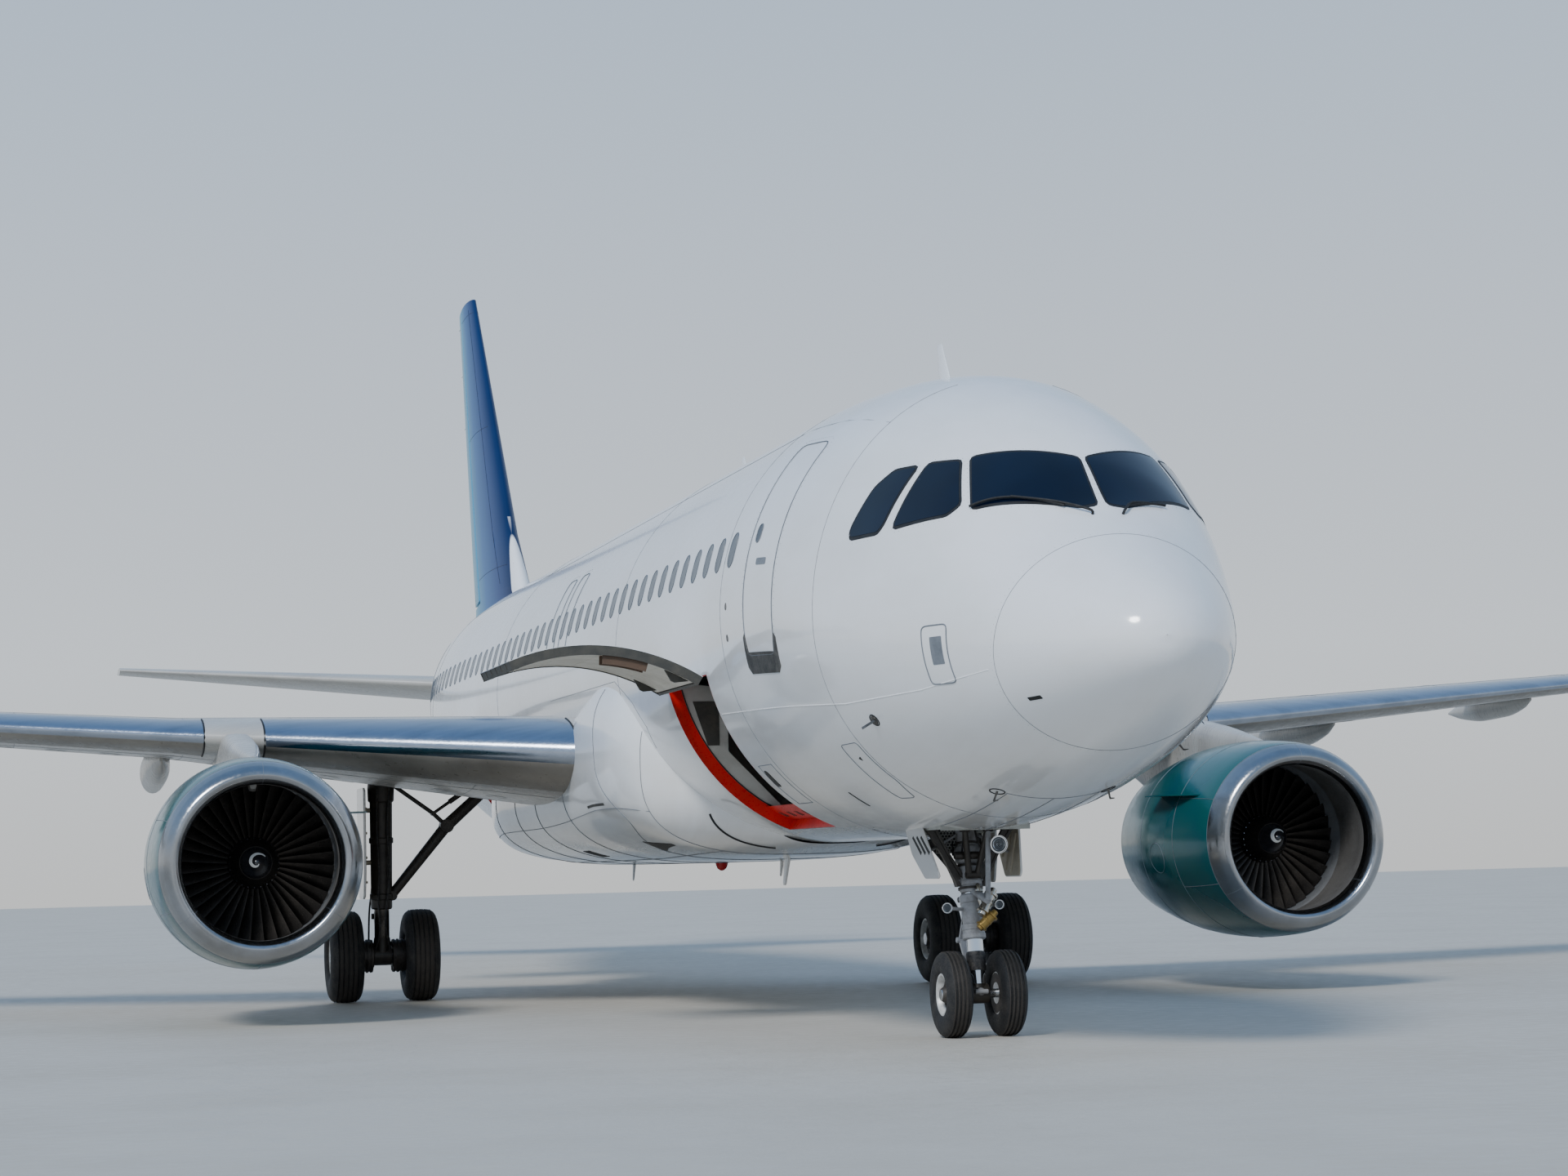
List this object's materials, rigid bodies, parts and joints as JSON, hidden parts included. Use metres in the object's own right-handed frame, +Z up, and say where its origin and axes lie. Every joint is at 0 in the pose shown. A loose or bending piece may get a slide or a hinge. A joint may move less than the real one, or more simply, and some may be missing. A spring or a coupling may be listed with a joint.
{
  "type": "single-aisle twin-engined airliner",
  "caption": "Low-wing jet airliner on its landing gear, with hold doors swung open, turning fans, steered nose wheels and moving tail and wing surfaces.",
  "frame": {"origin": "on the ground, under the middle of the overall length, on the centre plane", "axes": "+Z up, nose towards -Y, port side towards +X"},
  "size_m": [34.1, 37.57, 11.76],
  "materials": {
    "white_paint": "gloss white paint over aluminium",
    "grey_paint": "satin light grey paint",
    "wing_paint": "satin mid grey paint",
    "fin_paint": "gloss blue and green paint",
    "cowl_paint": "gloss deep green paint",
    "cockpit_glass": "dark coated glass, nothing seen through it",
    "bare_alloy": "polished bare metal",
    "hot_metal": "heat-stained metal",
    "fan_metal": "dark titanium",
    "gear_steel": "grey painted steel",
    "rim_alloy": "light painted alloy",
    "tyre": "matt black rubber"
  },
  "bodies": {
    "airframe": {"radome": "white_paint", "nose_fuselage": "white_paint", "cockpit_glazing": "cockpit_glass", "forward_fuselage": "white_paint", "centre_fuselage": "white_paint", "aft_fuselage": "white_paint", "tail_fuselage": "white_paint", "belly_fairing": "grey_paint", "fin": "fin_paint", "nose_gear_leg": "gear_steel", "nose_drag_brace": "gear_steel", "nose_gear_left_door": "white_paint", "nose_gear_right_door": "white_paint", "left_wing": "wing_paint", "left_inner_slat": "bare_alloy", "left_outer_slat": "bare_alloy", "left_flap": "wing_paint", "left_stabiliser": "wing_paint", "left_inlet_cowl": "bare_alloy", "left_fan_cowl": "cowl_paint", "left_engine_core": "hot_metal", "left_pylon": "wing_paint", "left_main_gear_leg": "gear_steel", "left_side_stay": "gear_steel", "left_main_gear_door": "white_paint", "right_wing": "wing_paint", "right_inner_slat": "bare_alloy", "right_outer_slat": "bare_alloy", "right_flap": "wing_paint", "right_stabiliser": "wing_paint", "right_inlet_cowl": "bare_alloy", "right_fan_cowl": "cowl_paint", "right_engine_core": "hot_metal", "right_pylon": "wing_paint", "right_main_gear_leg": "gear_steel", "right_side_stay": "gear_steel", "right_main_gear_door": "white_paint"},
    "forward_cargo_door": {"forward_cargo_door": "white_paint"},
    "aft_cargo_door": {"aft_cargo_door": "white_paint"},
    "rudder": {"rudder": "fin_paint"},
    "left_elevator": {"left_elevator": "wing_paint"},
    "right_elevator": {"right_elevator": "wing_paint"},
    "left_aileron": {"left_aileron": "wing_paint"},
    "right_aileron": {"right_aileron": "wing_paint"},
    "left_fan": {"left_fan": "fan_metal"},
    "right_fan": {"right_fan": "fan_metal"},
    "nose_steering": {"nose_gear_piston": "gear_steel"},
    "nose_wheels": {"nose_wheel_hubs": "rim_alloy", "nose_left_tyre": "tyre", "nose_right_tyre": "tyre"},
    "left_main_wheels": {"left_main_wheel_hubs": "rim_alloy", "left_main_inner_tyre": "tyre", "left_main_outer_tyre": "tyre"},
    "right_main_wheels": {"right_main_wheel_hubs": "rim_alloy", "right_main_inner_tyre": "tyre", "right_main_outer_tyre": "tyre"}
  },
  "joints": [
    {"name": "forward_cargo_door_hinge", "type": "hinge", "parent": "airframe", "child": "forward_cargo_door", "pos_m": [-1.93247, -10.625, 3.34669], "axis": [0, -1, 0], "range_deg": [0, 135]},
    {"name": "aft_cargo_door_hinge", "type": "hinge", "parent": "airframe", "child": "aft_cargo_door", "pos_m": [-1.93247, 3.905, 3.34669], "axis": [0, -1, 0], "range_deg": [0, 135]},
    {"name": "rudder_hinge", "type": "hinge", "parent": "airframe", "child": "rudder", "pos_m": [0, 14.75932, 6.26], "axis": [0, 0.4091, 0.9125], "range_deg": [-25, 25]},
    {"name": "left_elevator_hinge", "type": "hinge", "parent": "airframe", "child": "left_elevator", "pos_m": [1.25, 16.99618, 4.80701], "axis": [0.9783, 0.1885, 0.0861], "range_deg": [-17, 30]},
    {"name": "right_elevator_hinge", "type": "hinge", "parent": "airframe", "child": "right_elevator", "pos_m": [-1.25, 16.99618, 4.80701], "axis": [0.9783, -0.1885, -0.0861], "range_deg": [-17, 30]},
    {"name": "left_aileron_hinge", "type": "hinge", "parent": "airframe", "child": "left_aileron", "pos_m": [13.33, 1.79594, 3.8188], "axis": [0.939, 0.3323, 0.0887], "range_deg": [-25, 25]},
    {"name": "right_aileron_hinge", "type": "hinge", "parent": "airframe", "child": "right_aileron", "pos_m": [-13.33, 1.79594, 3.8188], "axis": [0.939, -0.3323, -0.0887], "range_deg": [-25, 25]},
    {"name": "left_fan_spin", "type": "hinge", "parent": "airframe", "child": "left_fan", "pos_m": [5.75, -6.135, 1.715], "axis": [0, 1, 0], "continuous": true},
    {"name": "right_fan_spin", "type": "hinge", "parent": "airframe", "child": "right_fan", "pos_m": [-5.75, -6.135, 1.715], "axis": [0, 1, 0], "continuous": true},
    {"name": "nose_steering", "type": "hinge", "parent": "airframe", "child": "nose_steering", "pos_m": [0, -13.715, 0.38], "axis": [0, 0.1564, 0.9877], "range_deg": [-75, 75]},
    {"name": "nose_wheel_spin", "type": "hinge", "parent": "nose_steering", "child": "nose_wheels", "pos_m": [0, -13.715, 0.38], "axis": [1, 0, 0], "continuous": true},
    {"name": "left_main_wheel_spin", "type": "hinge", "parent": "airframe", "child": "left_main_wheels", "pos_m": [3.795, -1.075, 0.56], "axis": [1, 0, 0], "continuous": true},
    {"name": "right_main_wheel_spin", "type": "hinge", "parent": "airframe", "child": "right_main_wheels", "pos_m": [-3.795, -1.075, 0.56], "axis": [1, 0, 0], "continuous": true}
  ]
}
